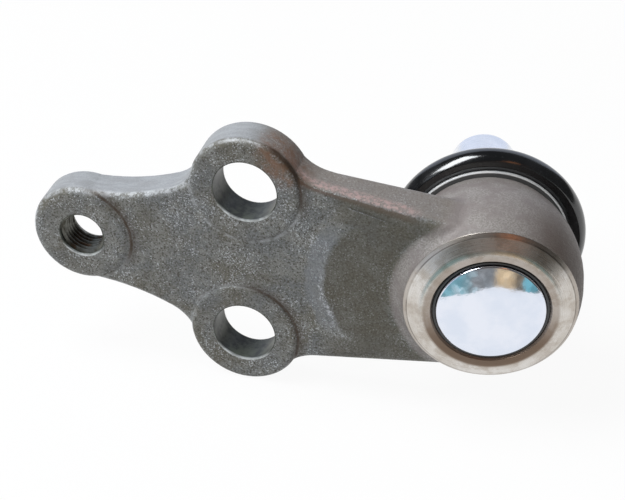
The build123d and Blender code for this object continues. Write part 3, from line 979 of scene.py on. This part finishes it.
def room_paint(centre, top):
    """The room's colours round the centre, clear below the table's edge and above the top."""
    made, g, surface = stage_material("room_beyond")
    part = part_millimetres(g)
    x, y, z = g.split(g.shifted(part, tuple(-centre)))
    degrees = g.both(g.math("ARCTAN2", x, g.both(y, -1.0)), math.degrees(1.0))
    waver_size, waver_reach = 12.0, 9.0
    waver = g.both(g.less(g.noise(part, waver_size), 0.5), waver_reach)
    angle = g.plus(degrees, waver)
    bands = [(g.steps(angle, start, end), tint) for start, end, tint in ROOM_COLOURS]
    panes = g.patches(g.shifted(part, (9.0, 0.0, 4.0)), 7.0, 0.52, 0.66, detail=2.0)
    left_panes = g.both(panes, g.steps(angle, 0.0, -10.0, to_low=0.15, to_high=0.8))
    colour = g.paint(
        ROOM_START,
        *bands,
        (left_panes, rgb(206, 228, 232)),
        (g.steps(z, 8.0, 18.0, to_high=0.55), rgb(112, 104, 92)),
    )
    dim, bright = 0.7, 1.15
    light = g.steps(g.noise(part, size=9.0, detail=2.0), 0.42, 0.66, dim, bright)

    # The table's edge is nearest at the sides, so the room starts lower there.
    farthest, edge_z, left_slope, right_slope, soft = 5.0, -4.6, -0.52, 0.29, 1.2
    past = g.less(angle, farthest)
    drop = g.either(g.both(past, left_slope), g.both(past, right_slope))
    over_edge = g.less(z, g.less(edge_z, drop))
    top_fade = 8.0
    shown = g.both(g.steps(over_edge, -soft, soft), g.steps(z, top, top - top_fade))
    clear = g.add("ShaderNodeBsdfTransparent").outputs[0]
    g.put(surface, g.mix_shader(shown, clear, g.glow(colour, light)))
    return made


def room_beyond():
    """What the cap mirrors past the edge of the white table: teal to the left, gold to the right."""
    reach, bottom, top, half_span, steps = 70.0, -36.0, 34.0, 50.0, 40
    centre = Vector((0, -17.0, 0))
    turn = math.radians(half_span)
    start = centre + Vector((-math.sin(turn), -math.cos(turn), 0)) * reach
    bm = bmesh.new()
    foot, head = (bm.verts.new((start + Vector((0, 0, z))) * MM) for z in (bottom, top))
    edge = bm.edges.new((foot, head))
    bmesh.ops.spin(
        bm, geom=[foot, head, edge], cent=centre * MM, axis=(0, 0, 1), angle=2 * turn, steps=steps
    )
    band = finished("room_beyond", bm)
    dress(band, room_paint(centre, top))
    only_reflected(band)


def add_stage():
    """The floor, what the bright metal mirrors, and a world that is white to the eye."""
    floor_half, floor_share = 6.0, 0.94
    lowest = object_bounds()[0].z
    bm = bmesh.new()
    bmesh.ops.create_grid(bm, x_segments=1, y_segments=1, size=floor_half)
    bmesh.ops.translate(bm, vec=(0, 0, lowest), verts=bm.verts)
    floor = finished("floor", bm, smooth=False)
    dress(floor, floor_white(floor_share))

    room_beyond()
    for card in GLOW_CARDS:
        glow_card(*card)

    diffuse_share, glossy_share = 0.26, 0.08
    world = bpy.data.worlds.new("studio")
    bpy.context.scene.world = world
    world.use_nodes = True
    g = Graph(world.node_tree)
    path = g.add("ShaderNodeLightPath").outputs
    seen = g.either(path["Is Camera Ray"], path["Is Transmission Ray"])
    around = g.blend(path["Is Glossy Ray"], diffuse_share, glossy_share)
    background = world.node_tree.nodes["Background"].inputs
    g.put(background["Color"], grey(1.0))
    g.put(background["Strength"], g.either(seen, around))


def add_window():
    """A soft box up to the left that faces the part."""
    place, aim = Vector((-0.52, -0.08, 0.83)), Vector((-0.04, 0, 0))
    long_way = Vector((0.49, 0.69, 0.53))
    data = bpy.data.lights.new("window", "AREA")
    data.shape = "RECTANGLE"
    data.size, data.size_y = 0.80, 0.36
    data.energy = 13.0
    data.color = (0.95, 0.975, 1.0)
    window = bpy.data.objects.new("window", data)
    bpy.context.scene.collection.objects.link(window)
    back = (place - aim).normalized()
    long_side = (long_way - back * back.dot(long_way)).normalized()
    turn = Matrix((long_side, back.cross(long_side), back)).transposed().to_4x4()
    window.matrix_world = Matrix.Translation(place) @ turn


# ---- build ---------------------------------------------------------------------------------------
bearing = plastic("bearing_plastic", light=rgb(226, 222, 208), dark=rgb(212, 207, 192))
stud = {"light": rgb(246, 247, 251), "dark": rgb(233, 236, 242), "smooth": 0.2, "matt": 0.3}
spring = {"light": rgb(118, 120, 128), "dark": rgb(92, 94, 104), "smooth": 0.28, "matt": 0.4}
clip = {"light": rgb(206, 206, 206), "dark": rgb(168, 168, 170), "smooth": 0.22, "matt": 0.32}
finishes = {
    "forged_body": forged_steel(),
    "ball_stud": turned_metal("plated_stud", rings=9.0, **stud),
    "bearing_shell": bearing,
    "pressure_seat": bearing,
    "disc_spring": turned_metal("spring_steel", rings=5.0, across=True, **spring),
    "cover_plug": plated_cap(),
    "cover_seal": rubber("seal_rubber", smooth=0.32, matt=0.5, dust=0.2),
    "boot_neck_sleeve": plastic("sleeve_plastic", light=rgb(208, 204, 190), dark=rgb(190, 186, 172)),
    "boot_clip_ring": turned_metal("clip_wire", rings=9.0, **clip),
}
for node, made in finishes.items():
    dress(nodes[node], made)

bpy.context.scene.view_settings.view_transform = "Standard"
add_camera()
tapped_thread()
base_ring()
dust_boot()
add_stage()
add_window()
